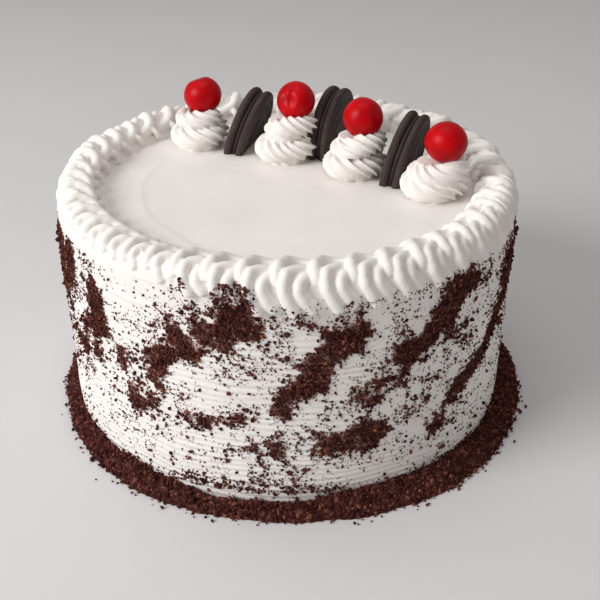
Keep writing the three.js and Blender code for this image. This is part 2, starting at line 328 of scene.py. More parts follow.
def mottle_group():
    """Cloudy variation and fine grain over a surface, as two masks."""
    name = "surface_mottle"
    if name in bpy.data.node_groups:
        return bpy.data.node_groups[name]
    group = bpy.data.node_groups.new(name, "ShaderNodeTree")
    for label, default in (("Cloud Scale", 60.0), ("Grain Scale", 900.0)):
        socket = group.interface.new_socket(label, in_out="INPUT", socket_type="NodeSocketFloat")
        socket.default_value = default
    for label in ("Cloud", "Grain"):
        group.interface.new_socket(label, in_out="OUTPUT", socket_type="NodeSocketFloat")
    nodes, links = group.nodes, group.links
    source = nodes.new("NodeGroupInput")
    result = nodes.new("NodeGroupOutput")
    place = nodes.new("ShaderNodeTexCoord")
    for label, detail in (("Cloud", 3.0), ("Grain", 2.0)):
        texture = nodes.new("ShaderNodeTexNoise")
        texture.inputs["Detail"].default_value = detail
        links.new(place.outputs["Object"], texture.inputs["Vector"])
        links.new(source.outputs[label + " Scale"], texture.inputs["Scale"])
        links.new(texture.outputs["Fac"], result.inputs[label])
    return group


def new_material(name, roughness, **values):
    material = bpy.data.materials.new(name)
    material.use_nodes = True
    shader = material.node_tree.nodes["Principled BSDF"]
    shader.inputs["Roughness"].default_value = roughness
    for key, value in values.items():
        shader.inputs[key.replace("_", " ").title()].default_value = value
    return material, material.node_tree, shader


def add_mottle(tree, cloud_scale, grain_scale):
    node = tree.nodes.new("ShaderNodeGroup")
    node.node_tree = mottle_group()
    node.inputs["Cloud Scale"].default_value = cloud_scale
    node.inputs["Grain Scale"].default_value = grain_scale
    return node


def mix_colours(tree, mask, low, high):
    """A mix of two colours or sockets by a mask socket."""
    node = tree.nodes.new("ShaderNodeMix")
    node.data_type = "RGBA"
    tree.links.new(mask, node.inputs["Factor"])
    for key, value in (("A", low), ("B", high)):
        socket = next(s for s in node.inputs if s.name == key and s.type == "RGBA")
        if isinstance(value, bpy.types.NodeSocket):
            tree.links.new(value, socket)
        else:
            socket.default_value = rgba(value)
    return next(s for s in node.outputs if s.type == "RGBA")


def stretch(tree, source, low, high, to_low=0.0, to_high=1.0):
    node = tree.nodes.new("ShaderNodeMapRange")
    for key, value in (("From Min", low), ("From Max", high), ("To Min", to_low), ("To Max", to_high)):
        node.inputs[key].default_value = value
    tree.links.new(source, node.inputs["Value"])
    return node.outputs["Result"]


def add_bump(tree, shader, height, strength, distance):
    node = tree.nodes.new("ShaderNodeBump")
    node.inputs["Strength"].default_value = strength
    node.inputs["Distance"].default_value = distance
    tree.links.new(height, node.inputs["Height"])
    tree.links.new(node.outputs["Normal"], shader.inputs["Normal"])


def cream_material():
    """Whipped cream: soft, nearly white, with tiny air bubbles, and brown specks where crumbs lie."""
    if "cream_finish" in bpy.data.materials:
        return bpy.data.materials["cream_finish"]
    colours = bpy.context.scene.cake_colours
    material, tree, shader = new_material(
        "cream_finish", 0.5, subsurface_weight=0.15, subsurface_scale=0.0015
    )
    shader.inputs["Subsurface Radius"].default_value = (1.0, 0.8, 0.6)
    shader.inputs["Specular IOR Level"].default_value = 0.25
    mottle = add_mottle(tree, 45.0, 1400.0)
    cloud = stretch(tree, mottle.outputs["Cloud"], 0.3, 0.7)
    colour = mix_colours(tree, cloud, colours.cream, colours.cream_light)
    dust = tree.nodes.new("ShaderNodeAttribute")
    dust.attribute_name = "dust"
    speckle = tree.nodes.new("ShaderNodeMath")
    speckle.operation = "MULTIPLY_ADD"
    speckle.inputs[1].default_value = 0.9
    tree.links.new(mottle.outputs["Grain"], speckle.inputs[0])
    tree.links.new(dust.outputs["Fac"], speckle.inputs[2])
    marked = speckle.outputs["Value"]
    colour = mix_colours(tree, stretch(tree, marked, 0.64, 0.95), colour, colours.stain)
    colour = mix_colours(tree, stretch(tree, marked, 0.95, 1.35), colour, colours.crumb_dark)
    tree.links.new(colour, shader.inputs["Base Color"])
    tree.links.new(stretch(tree, mottle.outputs["Cloud"], 0.3, 0.7, 0.44, 0.56), shader.inputs["Roughness"])
    add_bump(tree, shader, mottle.outputs["Grain"], 0.15, 0.0003)
    return material


def crumb_material():
    """Dry chocolate crumbs, each in its own shade by the attribute that it carries."""
    if "crumb_finish" in bpy.data.materials:
        return bpy.data.materials["crumb_finish"]
    colours = bpy.context.scene.cake_colours
    material, tree, shader = new_material("crumb_finish", 1.0)
    shader.inputs["Specular IOR Level"].default_value = 0.0
    shade = tree.nodes.new("ShaderNodeAttribute")
    shade.attribute_name = "shade"
    ramp = tree.nodes.new("ShaderNodeValToRGB")
    stops = (
        (0.0, colours.crumb_dark),
        (0.5, colours.crumb),
        (0.97, colours.crumb_light),
        (0.985, colours.crumb_tan),
    )
    while len(ramp.color_ramp.elements) < len(stops):
        ramp.color_ramp.elements.new(0.5)
    for element, (place, colour) in zip(ramp.color_ramp.elements, stops):
        element.position = place
        element.color = rgba(colour)
    tree.links.new(shade.outputs["Fac"], ramp.inputs["Fac"])
    mottle = add_mottle(tree, 300.0, 2500.0)
    darker = stretch(tree, mottle.outputs["Grain"], 0.35, 0.65)
    colour = mix_colours(tree, darker, colours.crumb_dark, ramp.outputs["Color"])
    tree.links.new(colour, shader.inputs["Base Color"])
    add_bump(tree, shader, mottle.outputs["Grain"], 0.5, 0.0003)
    return material


def wafer_material():
    """Dark baked cocoa wafer with a fine open grain."""
    if "wafer_finish" in bpy.data.materials:
        return bpy.data.materials["wafer_finish"]
    colours = bpy.context.scene.cake_colours
    material, tree, shader = new_material("wafer_finish", 0.7)
    mottle = add_mottle(tree, 180.0, 1800.0)
    cloud = stretch(tree, mottle.outputs["Cloud"], 0.3, 0.7)
    colour = mix_colours(tree, cloud, colours.wafer_dark, colours.wafer)
    tree.links.new(colour, shader.inputs["Base Color"])
    tree.links.new(stretch(tree, mottle.outputs["Grain"], 0.3, 0.7, 0.6, 0.8), shader.inputs["Roughness"])
    add_bump(tree, shader, mottle.outputs["Grain"], 0.45, 0.0003)
    return material


def filling_material():
    """The nearly black chocolate filling between two wafers."""
    if "filling_finish" in bpy.data.materials:
        return bpy.data.materials["filling_finish"]
    colours = bpy.context.scene.cake_colours
    material, tree, shader = new_material("filling_finish", 0.65)
    mottle = add_mottle(tree, 200.0, 1500.0)
    colour = mix_colours(tree, mottle.outputs["Cloud"], colours.filling, colours.wafer_dark)
    tree.links.new(colour, shader.inputs["Base Color"])
    add_bump(tree, shader, mottle.outputs["Grain"], 0.3, 0.0003)
    return material


def cherry_material():
    """Glazed cherry: clear bright red with a smooth wet skin."""
    if "cherry_finish" in bpy.data.materials:
        return bpy.data.materials["cherry_finish"]
    colours = bpy.context.scene.cake_colours
    material, tree, shader = new_material(
        "cherry_finish",
        0.36,
        subsurface_weight=0.08,
        subsurface_scale=0.0015,
        coat_weight=0.04,
        coat_roughness=0.35,
    )
    shader.inputs["Specular IOR Level"].default_value = 0.12
    shader.inputs["Subsurface Radius"].default_value = (1.0, 0.15, 0.1)
    mottle = add_mottle(tree, 120.0, 900.0)
    cloud = stretch(tree, mottle.outputs["Cloud"], 0.3, 0.7)
    colour = mix_colours(tree, cloud, colours.cherry_dark, colours.cherry)
    tree.links.new(colour, shader.inputs["Base Color"])
    add_bump(tree, shader, mottle.outputs["Cloud"], 0.25, 0.001)
    return material


# Where the crumbs lie on the side

def all_streaks():
    """The streaks that the front shows, and more like them round the back, by a seeded rule."""
    draw = np.random.default_rng(5)
    streaks = list(STREAKS)
    for i in range(BACK_STREAKS):
        bearing = 14 + i * 19 + draw.uniform(-4, 4)
        high = draw.uniform(60, 86) if i % 2 == 0 else draw.uniform(40, 60)
        run = draw.uniform(9, 13)
        fall = draw.uniform(10, 16)
        half_width = draw.uniform(4.5, 7)
        streaks.append((bearing, high, bearing - run, high - fall, half_width, 1.0))
        tail = (bearing - 2 * run, high - 2.2 * fall, half_width * 0.7, 0.75)
        streaks.append((bearing - run, high - fall, *tail))
    return np.array(streaks)


def crumb_cover(bearing_deg, height):
    """How thickly crumbs cover the wall there: the streaks' own share and the sparse share round them."""
    dense = np.zeros(len(height))
    halo = np.zeros(len(height))
    per_degree = math.radians(1) * WALL
    for b0, z0, b1, z1, half_width, strength in all_streaks():
        run = (b1 - b0) * per_degree
        rise = z1 - z0
        across = ((bearing_deg - b0 + 180) % 360 - 180) * per_degree
        along = np.clip((across * run + (height - z0) * rise) / (run**2 + rise**2), 0, 1)
        away = np.hypot(across - along * run, height - z0 - along * rise)
        dense = np.maximum(dense, strength * np.clip(STREAK_EDGE - away / half_width, 0, 1))
        halo = np.maximum(halo, strength * np.exp(-((away / (HALO_REACH * half_width)) ** 2)))
    return dense, halo


def strip_share(bearing_deg):
    """How far the strip of clean wall over the heap shows there, from 0 to 1."""
    away = (bearing_deg - STRIP_BEARING + 180) % 360 - 180
    return np.exp(-((away / STRIP_SPREAD) ** 4))


# Settings

def length_setting(name, description, default):
    """A length that can be set, with its default given in mm."""
    return FloatProperty(name=name, description=description, default=default * MM, unit="LENGTH")


def colour_setting(name, description, default):
    """A colour that can be set, with its default given as it looks on a screen."""
    return FloatVectorProperty(
        name=name, description=description, subtype="COLOR", size=3, default=linear(default)
    )


def power_setting(name, description, default):
    """A lamp's power that can be set, in watts."""
    return FloatProperty(name=name, description=description, default=default, unit="POWER")


class CoatSettings(bpy.types.PropertyGroup):
    columns: IntProperty(name="Columns", description="Points round the coat", default=320, min=48)
    comb_pitch: length_setting("Comb pitch", "Height of one combed groove", 2.6)
    comb_depth: length_setting("Comb depth", "Depth of the combed grooves", 0.42)
    comb_top: length_setting("Comb top", "Height at which the comb started", 84)
    swirl_height: length_setting("Swirl height", "Height of the line that the spatula left on the top", 0.3)


class BorderSettings(bpy.types.PropertyGroup):
    crest: length_setting("Crest", "Height of the scrolls' middle over the flat top", 5.4)
    back_crest: length_setting("Back crest", "Extra height at the back", 2.8)
    strand: length_setting("Strand", "Radius of one ridge of a scroll", 2.62)
    voxel: length_setting("Fineness", "Size of the melted skin's cells", 0.52)


class ToppingSettings(bpy.types.PropertyGroup):
    rosette_cup: length_setting("Rosette cup", "How far below a cherry's middle its rosette ends", 4.5)
    cherry_radius: length_setting("Cherry radius", "Radius of a cherry", 9)
    wafer_radius: length_setting("Wafer radius", "Radius of a biscuit's wafer", 20.5)
    wafer_thickness: length_setting("Wafer thickness", "Thickness of one wafer", 3.7)
    filling_thickness: length_setting("Filling thickness", "Thickness of the filling", 1.3)


class CrumbSettings(bpy.types.PropertyGroup):
    fine: length_setting("Fine crumb", "Usual radius of a fine crumb", 0.42)
    coarse: length_setting("Coarse crumb", "Usual radius of a coarse crumb", 0.6)
    heap_count: IntProperty(name="Heap crumbs", description="Crumbs on the heap", default=9800, min=0)
    seed: IntProperty(name="Seed", description="Start of the random draws", default=11)


class ColourSettings(bpy.types.PropertyGroup):
    cream: colour_setting("Cream", "Whipped cream", (240, 236, 233))
    cream_light: colour_setting("Light cream", "Lighter whipped cream", (245, 242, 239))
    stain: colour_setting("Stain", "Cream that crumbs have stained", (146, 102, 92))
    crumb: colour_setting("Crumb", "Chocolate crumb", (110, 64, 58))
    crumb_dark: colour_setting("Dark crumb", "Darkest crumb", (54, 29, 29))
    crumb_light: colour_setting("Light crumb", "Lightest crumb", (168, 106, 88))
    crumb_tan: colour_setting("Tan crumb", "The few tan crumbs", (186, 122, 74))
    wafer: colour_setting("Wafer", "Cocoa wafer", (64, 48, 47))
    wafer_dark: colour_setting("Dark wafer", "Darker cocoa wafer", (47, 35, 35))
    filling: colour_setting("Filling", "Chocolate filling", (26, 15, 15))
    cherry: colour_setting("Cherry", "Glazed cherry", (205, 0, 13))
    cherry_dark: colour_setting("Dark cherry", "Darker red of a cherry", (168, 0, 10))
    floor: colour_setting("Floor", "Pale floor", (224, 223, 226))


class StageSettings(bpy.types.PropertyGroup):
    key_power: power_setting("Key light", "Power of the large soft light from the left", 18.2)
    top_power: power_setting("Top light", "Power of the soft light from above", 2.8)
    sky: FloatProperty(name="Sky", description="Strength of the even light", default=0.33)


class CAKE_OT_coat(bpy.types.Operator):
    """Spread the cream coat: smooth on top, combed round the side"""

    bl_idname = "cake.coat"
    bl_label = "Cream coat"

    # The rings on the flat top: first radius, last radius and how many, closest at the spatula's line
    TOP_RINGS = [(0, 58, 20), (60, 77, 25), (80, 96.5, 9)]
    # The rounded top edge: radius and how far below the flat top
    EDGE = [(97.6, 0.3), (98.4, 1.1)]
    # The wall's rows of points: how far below the flat top it starts, where it ends and how many
    WALL_ROWS = (2.4, 0.6, 158)
    BASE_RADII = [97.5, 60, 0]
    # Sizes in mm of the grooves' wavering, of the patches where they fade and of the wall's unevenness
    WAVER, PATCH, UNEVEN = 34, 26, 40
    # The spatula's line: degrees along it, from its start at the left, and its radius there
    LINE_START = 150
    LINE_TURNS = [0, 40, 79, 92, 102, 120]
    LINE_RADII = [61.5, 62.6, 66.6, 71, 73, 75.5]

    def execute(self, context):
        settings = context.scene.cake_coat
        columns = settings.columns
        # The coat's outline from the middle of the top to the middle of the base
        top_radii = np.concatenate([np.linspace(*rings) for rings in self.TOP_RINGS])
        edge_radii = [radius for radius, drop in self.EDGE]
        edge_heights = [TOP - drop for radius, drop in self.EDGE]
        wall_drop, wall_foot, wall_rows = self.WALL_ROWS
        wall_heights = np.linspace(TOP - wall_drop, wall_foot, wall_rows)
        radii = np.concatenate([top_radii, edge_radii, np.full(wall_rows, WALL), self.BASE_RADII])
        base_heights = np.zeros(len(self.BASE_RADII))
        heights = np.concatenate([np.full(len(top_radii), TOP), edge_heights, wall_heights, base_heights])
        rows = len(radii) - 1
        piece, along, down = grid_piece("cream_coat", columns, rows)
        bearing = along * 2 * math.pi
        row = np.rint(down * rows).astype(int)
        radius = radii[row].copy()
        height = heights[row].copy()
        self.comb(settings, bearing, radius, height)
        self.smooth_top(settings, bearing, radius, height)
        place_points(piece, ring_points(bearing, radius, height))
        close_seams(piece, 1e-5)
        smooth_shade(piece)
        self.dust(piece)
        finish_piece(piece, cream_material(), "whipped_cream", "iced_cake")
        return {"FINISHED"}

    def comb(self, settings, bearing, radius, height):
        """Combed grooves round the side, wavering and fading here and there, below a smooth band."""
        wall = (height < TOP - 2) & (height > 0.3)
        places = ring_points(bearing[wall], np.full(wall.sum(), WALL), height[wall])
        waver = value_noise(places * [1, 1, 2.2], self.WAVER, 1)
        patchy = value_noise(places * [1, 1, 4], self.PATCH, 2)
        start = settings.comb_top / MM + 3 * waver + 3 * np.sin(bearing[wall] * 2 + 1)
        z = height[wall]
        phase = (z + 2.4 * waver + 1.2 * np.sin(bearing[wall] + 2)) / (settings.comb_pitch / MM)
        ridge = 0.5 - np.abs(phase % 1 - 0.5)
        groove = settings.comb_depth / MM * (2 * np.sqrt(2 * ridge) - 1.1)
        strength = np.clip((start - z) / 2.5, 0, 1) * np.clip(0.75 + 0.7 * patchy, 0.25, 1.1)
        lip = 0.5 * np.exp(-(((z - start - 0.4) / 0.9) ** 2))
        radius[wall] += groove * strength + lip + 0.35 * value_noise(places, self.UNEVEN, 3)
        foot = z < 1.6
        radius[wall] = np.where(foot, radius[wall] - 0.3, radius[wall])

    def smooth_top(self, settings, bearing, radius, height):
        """A nearly flat top, with the faint curved line that the spatula left."""
        top = height > TOP - 0.2
        places = ring_points(bearing[top], radius[top], np.zeros(top.sum()))
        turn = (np.degrees(bearing[top]) - self.LINE_START) % 360
        line = np.interp(turn, self.LINE_TURNS, self.LINE_RADII)
        edge = 1 / (1 + np.exp(-(radius[top] - line) / 0.45))
        fade = np.clip(turn / 15, 0, 1) * np.clip((118 - turn) / 20, 0, 1)
        step = settings.swirl_height / MM * edge * np.exp(-np.clip(radius[top] - line, 0, None) / 5)
        height[top] += step * fade * (radius[top] < 79) + 0.1 * value_noise(places, 25, 4)

    def dust(self, piece):
        """How brown the cream is under the dense crumbs, kept on each point."""
        places = points_of(piece)
        bearing = np.degrees(np.arctan2(places[:, 1], places[:, 0]))
        dense, halo = crumb_cover(bearing, places[:, 2])
        wall = (np.hypot(places[:, 0], places[:, 1]) > WALL - 3) & (places[:, 2] < TOP - 1)
        patchy = value_noise(places, *BROAD_PATCHES) * 0.5 + value_noise(places, *MIDDLE_PATCHES) * 0.35
        thick = np.clip((dense - 0.5 + 1.1 * patchy) * 1.9, 0, 1)
        dust = (0.1 * np.clip(halo, 0, 1) + 0.9 * thick**1.2) * wall
        keep_value(piece.data, "dust", dust)


class CAKE_OT_border(bpy.types.Operator):
    """Pipe the scroll border over the top edge, front and back half"""

    bl_idname = "cake.border"
    bl_label = "Piped border"

    SCROLL_LENGTH = 13.8
    # The line that the ridges follow over the edge: distance across, radius and share of the crest's height
    ACROSS = [
        (-15, 80.8, 0.02),
        (-9, 84.0, 0.46),
        (-4, 88.0, 0.88),
        (0, 91.5, 1.0),
        (5, 95.6, 0.76),
        (9.5, 98.0, 0.25),
        (13.5, 98.8, -0.36),
        (18, 98.9, -1.08),
        (30, 98.8, -3.0),
    ]
    # The ridges of a hanging scroll and of a short curled one: distance along, distance across, lift
    HANGING = [
        [(16, -5.8, 0.2), (12.5, -6.8, 0.7), (8.5, -6.6, 1.1), (4.6, -4.8, 1.3),
         (1.9, -1.6, 1.2), (0.8, 2, 0.9), (0.9, 5, 0.1), (1.8, 7.6, -1.2)],
        [(17, 0.6, -0.6), (14, 0.4, -0.2), (11, 0.6, 0.4), (7.8, 1.6, 0.9), (5, 3.4, 1.2),
         (3.5, 6.4, 1.3), (3.4, 10, 1.4), (5.1, 13.8, 1.5), (7.6, 17.4, 1.5), (8.7, 20.4, 1.3)],
        [(17, 4.6, -0.8), (14.6, 4.4, -0.5), (12.2, 4.8, 0.1), (10, 6.2, 0.7), (8.9, 8.8, 1.2),
         (9.3, 11.8, 1.4), (11.4, 14.8, 1.5), (13.8, 17.2, 1.5), (14.7, 19.2, 1.2)],
        [(17, -0.5, -1.5), (11, 0.6, -1.3), (7.2, 4, -1.1), (6.6, 8.4, -1.1),
         (8.4, 12.6, -1.2), (10.8, 16, -1.6)],
        [(3.8, -13, -0.3), (4.6, -11, 0.9), (5.6, -9.2, 1.6), (7, -7.2, 0.9)],
    ]
    CURLED = [
        [(16, -7.4, 0.2), (12.5, -7.4, 0.7), (8.6, -6.8, 1.1), (5, -4.8, 1.3),
         (2.4, -1.4, 1.3), (1.6, 2.8, 1.2), (2.2, 6.8, 0.9), (4.4, 9.6, 0.3)],
        [(17, -2.6, -0.4), (14.4, -2.4, 0.1), (12, -1.8, 0.6), (9.8, -0.6, 1.1), (8.2, 1.2, 1.3),
         (7.4, 3.6, 1.3), (7.6, 5.8, 1.2), (8.8, 7.6, 1.1), (9.6, 8.8, 0.8), (10, 9.8, 0.3)],
        [(17, 1.4, -0.8), (15.6, 1.6, -0.4), (14.2, 2.2, -0.1), (13, 3.2, 0.2), (12.4, 4.6, 0.4),
         (12.6, 6.2, 0.3), (13.2, 7.4, 0.1), (13.6, 8.2, -0.1), (13.8, 9.2, -0.6)],
        [(17, -3, -1.9), (11.6, -1.6, -1.8), (8.2, 1.2, -1.8), (7.6, 4.4, -1.8),
         (9, 7, -1.8), (10.6, 8.6, -2.1)],
        [(3.8, -13, -0.3), (4.6, -11, 1.0), (5.6, -9.2, 1.8), (7, -7.2, 1.0)],
    ]
    # Each ridge's share of the strand's radius: outer arc, two fingers, the rope between them and the nub
    WIDTHS = [0.92, 0.82, 0.82, 0.95, 0.66]
    # How much higher a scroll's ridges lie by distance along it: its start lies over the scroll before it
    OVERLAP_PLACES = [0, 4, 9, 13, 16]
    OVERLAP_LIFTS = [0.9, 1.0, 0.4, 0.0, -0.6]
    # How much thicker a ridge gets towards its tip, by distance across
    SWELL_PLACES = [3, 10, 18]
    SWELLS = [0.96, 1.04, 1.34]
    # How far the border is pulled in at the cake's sides, where it hardly hangs over, and the bearing and
    # spread of the front, where it hangs over most
    PULL = 2.2
    OVERHANG_BEARING = -92
    OVERHANG_SPREAD = 48
    # Height in mm of one share of the crest's height below the flat top
    DROP_SHARE = 6.1
    # A scroll's usual width in degrees, and how much thicker the widest scroll's ridges may get
    USUAL_WIDTH = 7.8
    WIDEST = 1.12
    # How much larger the melted skin's cells are at the back
    BACK_COARSER = 1.2
    # The tip drops, in mm, at which a scroll hangs fully and is fully curled
    LONGEST_DROP = 8.6
    SHORTEST_DROP = -2.5
    # The solid cream under the ridges: radius and height
    UNDER = [
        (81, -0.6), (84, 2.0), (88, 5.0), (91.6, 5.9), (95.4, 4.7),
        (98.0, 1.6), (98.8, -2.6), (96.5, -4.2), (84, -2),
    ]

    def execute(self, context):
        settings = context.scene.cake_border
        draw = np.random.default_rng(3)
        starts = list(FRONT_SCROLLS)
        rest = np.linspace(FRONT_SCROLLS[-1], FRONT_SCROLLS[0] + 360, OTHER_SCROLLS + 1)[1:]
        starts += list(rest[:-1] + draw.normal(0, 0.45, OTHER_SCROLLS - 1)) + [rest[-1]]
        half = next(i for i, b in enumerate(starts) if b > 0)
        halves = (
            ("piped_border_front", 0, half, 1),
            ("piped_border_back", half, len(starts) - 1, self.BACK_COARSER),
        )
        for name, first, last, coarser in halves:
            strands = []
            for i in range(first, last):
                strands += self.scroll(settings, starts[i], starts[i + 1] - starts[i], draw)
            piped = tubes_piece(name, strands)
            under = self.under(settings, starts[first] - 1, starts[last] + 3)
            piece = join_pieces(piped, under)
            merge_cream(piece, settings.voxel / MM * coarser, 1)
            smooth_shade(piece)
            finish_piece(piece, cream_material(), "whipped_cream", "piped_border")
        return {"FINISHED"}

    def place_on_edge(self, settings, bearing, across):
        """Radius and height of a place on the border, and the direction out of it."""
        crest = (settings.crest + settings.back_crest * (1 + math.sin(bearing)) / 2) / MM
        along, radii, shares = np.array(self.ACROSS).T
        ends = np.array([across - 0.6, across, across + 0.6])
        away = (math.degrees(bearing) - self.OVERHANG_BEARING + 180) % 360 - 180
        pulled = self.PULL * (1.25 - math.exp(-((away / self.OVERHANG_SPREAD) ** 2)))
        radius = np.interp(ends, along, radii) - pulled * np.clip(ends / 8, 0, 1)
        rise = np.interp(ends, along, shares)
        height = np.where(rise > 0, rise * crest, rise * self.DROP_SHARE)
        outward = np.array([height[0] - height[2], radius[2] - radius[0]])
        outward = outward / max(np.hypot(*outward), 1e-6)
        return radius[1], height[1], outward

    def scroll(self, settings, start, width, draw):
        """The ridges of one scroll, each scroll a little different."""
        middle = (start + width / 2 + 180) % 360 - 180
        drop = np.interp(middle, TIP_BEARINGS, TIP_DROPS) + draw.normal(0, 0.35)
        curl = np.clip((self.LONGEST_DROP - drop) / (self.LONGEST_DROP - self.SHORTEST_DROP), -0.05, 1)
        ragged = np.clip((middle + 56) / 30, 0, 1)
        lean = draw.normal(0, 0.45 + 0.9 * ragged)
        lift_all = draw.normal(0, 0.2 + 0.45 * ragged)
        made = []
        for hanging, curled, thick in zip(self.HANGING, self.CURLED, self.WIDTHS):
            rows = through((1 - curl) * np.array(hanging) + curl * np.array(curled), 5)
            points = []
            for side, across, lift in rows:
                side += lean * np.clip(across / 12, 0, 1)
                lift += np.interp(side, self.OVERLAP_PLACES, self.OVERLAP_LIFTS)
                bearing = math.radians(start + side / self.SCROLL_LENGTH * width)
                r, z, outward = self.place_on_edge(settings, bearing, across)
                r += outward[0] * (lift + lift_all)
                z += outward[1] * (lift + lift_all)
                points.append([r * math.cos(bearing), r * math.sin(bearing), TOP + z])
            ends = np.minimum(np.arange(len(rows)), np.arange(len(rows))[::-1]) / 2.5
            taper = np.sqrt(np.clip(1 - (1 - np.clip(ends, 0, 1)) ** 2, 0.08, 1))
            wide = min(width / self.USUAL_WIDTH, self.WIDEST)
            radius = settings.strand / MM * thick * draw.normal(1, 0.04) * wide * (1 - 0.1 * curl)
            swell = np.interp(rows[:, 1], self.SWELL_PLACES, self.SWELLS)
            made.append((np.array(points), radius * taper * swell))
        return made

    def under(self, settings, first, last):
        """The solid arc of cream that the ridges lie on, closed at both ends."""
        radii, heights = np.array(self.UNDER).T
        rows = len(self.UNDER)
        columns = round(abs(last - first) / 2)
        piece, along, around = grid_piece("border_base", columns, rows)
        row = np.rint(around * rows).astype(int) % rows
        bearing = np.radians(first + along * (last - first))
        r, z = radii[row], heights[row]
        z = z + settings.back_crest / MM * (1 + np.sin(bearing)) / 2 * np.clip(z / 4, 0, 1)
        closed = (along < 0.5 / columns) | (along > 1 - 0.5 / columns)
        r = np.where(closed, 90, r)
        z = np.where(closed, 1, z)
        place_points(piece, ring_points(bearing, r, TOP + z))
        close_seams(piece, 1e-5)
        return piece


class CAKE_OT_rosettes(bpy.types.Operator):
    """Pipe the four rosettes as coils from a star tip, each up round its cherry"""

    bl_idname = "cake.rosettes"
    bl_label = "Rosettes"

    # The rope's star section: how many lobes, points for each and how deep the flutes between them are
    LOBES = 7
    LOBE_POINTS = 10
    DEPTH = 0.46
    TURNS = 1.95
    STEPS = 170
    # The rope's way by the share of its length: its radius round the middle, its own radius and its twist
    SHARES = [0, 0.45, 0.75, 1]
    PATH = [8.0, 7.9, 7.2, 6.6]
    ROPE = [6.9, 6.6, 5.9, 5.0]
    TWIST_SHARES = [0, 0.5, 1]
    TWIST = [0, 11.5, 22]
    CELL = 0.33
    # The cone inside: its radius at the foot and top, and how much lower than the rosette it ends
    CORE_FOOT, CORE_TOP, CORE_GAP = 10, 7.5, 3.4

    def execute(self, context):
        cup = context.scene.cake_toppings.rosette_cup / MM
        for number, (place, cherry) in enumerate(zip(ROSETTES, CHERRIES), 1):
            draw = np.random.default_rng(number)
            piece = self.coil(f"rosette_cream_{number}", place, cherry, cherry[2] - cup, draw)
            finish_piece(piece, cream_material(), "whipped_cream", f"rosette_{number}")
        return {"FINISHED"}

    def coil(self, name, place, cherry, height, draw):
        """A rope of cream with a star section, wound up nearly two turns into a cup."""
        x, y, turn = place
        piece, share, around = grid_piece(name, self.STEPS, self.LOBES * self.LOBE_POINTS)
        angle = turn + share * 2 * math.pi * (self.TURNS + draw.uniform(-0.08, 0.08))
        path = np.interp(share, self.SHARES, self.PATH)
        rope = np.interp(share, self.SHARES, self.ROPE)
        rise = np.interp(share, [0, 0.35, 0.6, 0.8, 1], [4.8, 5.9, 9.8, height - 5.6, height - 4.6])
        wobble = 1 + 0.05 * np.sin(angle * 1.7 + draw.uniform(0, 6))
        ends = np.clip(share / 0.05, 0, 1) * np.clip((1 - share) / 0.07, 0, 1)
        rope = rope * wobble * np.sqrt(np.clip(1 - (1 - ends) ** 2, 0.004, 1))
        twist = np.interp(share, self.TWIST_SHARES, self.TWIST) + 0.3 * np.sin(share * 23 + x)
        section = around * 2 * math.pi
        tooth = np.abs(((section + twist) * self.LOBES / (2 * math.pi)) % 1 - 0.5) * 2
        flute = 1 - self.DEPTH * (1 - tooth) ** 0.8 * (1 + 0.2 * np.sin(share * 31 + y))
        out = rope * flute * np.cos(section)
        up = rope * flute * np.sin(section) * np.interp(share, [0, 0.5, 1], [0.86, 0.95, 1.05])
        shift = share**1.5
        px = x + shift * (cherry[0] - x) + (path + out) * np.cos(angle)
        py = y + shift * (cherry[1] - y) + (path + out) * np.sin(angle)
        pz = np.maximum(TOP - 0.6, TOP + rise + up)
        place_points(piece, np.stack([px, py, pz], axis=-1))
        close_seams(piece, 1e-5)
        piece = join_pieces(piece, self.core(name + "_core", x, y, height))
        merge_cream(piece, self.CELL, 1)
        smooth_shade(piece)
        return piece

    def core(self, name, x, y, height):
        """A plain cone that fills the coil's middle."""
        depth = height - self.CORE_GAP
        clear_selection()
        bpy.ops.mesh.primitive_cone_add(
            vertices=32,
            radius1=self.CORE_FOOT * MM,
            radius2=self.CORE_TOP * MM,
            depth=depth * MM,
            location=(x * MM, y * MM, (TOP - 0.3 + depth / 2) * MM),
        )
        core = bpy.context.object
        core.name = name
        bpy.ops.object.transform_apply(location=True, rotation=True, scale=True)
        return core


class CAKE_OT_cherries(bpy.types.Operator):
    """Set a glazed cherry on each rosette"""

    bl_idname = "cake.cherries"
    bl_label = "Cherries"

    def execute(self, context):
        radius = context.scene.cake_toppings.cherry_radius / MM
        for number, (x, y, lift, dent) in enumerate(CHERRIES, 1):
            clear_selection()
            bpy.ops.mesh.primitive_uv_sphere_add(segments=40, ring_count=24, radius=radius * MM)
            piece = bpy.context.object
            piece.name = piece.data.name = f"glazed_cherry_{number}"
            points = points_of(piece)
            places = points + number * 40
            way = points / radius
            facing = way @ (np.array(dent) / np.linalg.norm(dent))
            depth = 1.5 if number == 2 else 0.9
            dip = np.clip((facing - 0.86) / 0.14, 0, 1) ** 1.5
            swell = 0.35 * value_noise(places, 11, number) - depth * dip
            if number == 2:
                side = way @ np.array([0.93, -0.35, 0.0])
                crease = np.exp(-((side + 0.38) / 0.09) ** 2) + 0.8 * np.exp(-((side - 0.02) / 0.1) ** 2)
                swell -= 0.75 * crease * np.clip((facing - 0.45) / 0.3, 0, 1)
            swell -= 0.45 * np.clip(-way[:, 2], 0, 1)
            points = points * (1 + (swell - 0.1) / radius)[:, None] + [x, y, TOP + lift]
            points[:, 2] = np.minimum(points[:, 2], CAD_BOX[1].z / MM - 0.1)
            place_points(piece, points)
            apply_modifier(piece, "SUBSURF", levels=1, render_levels=1)
            smooth_shade(piece)
            finish_piece(piece, cherry_material(), "cherry", f"cherry_{number}")
        return {"FINISHED"}


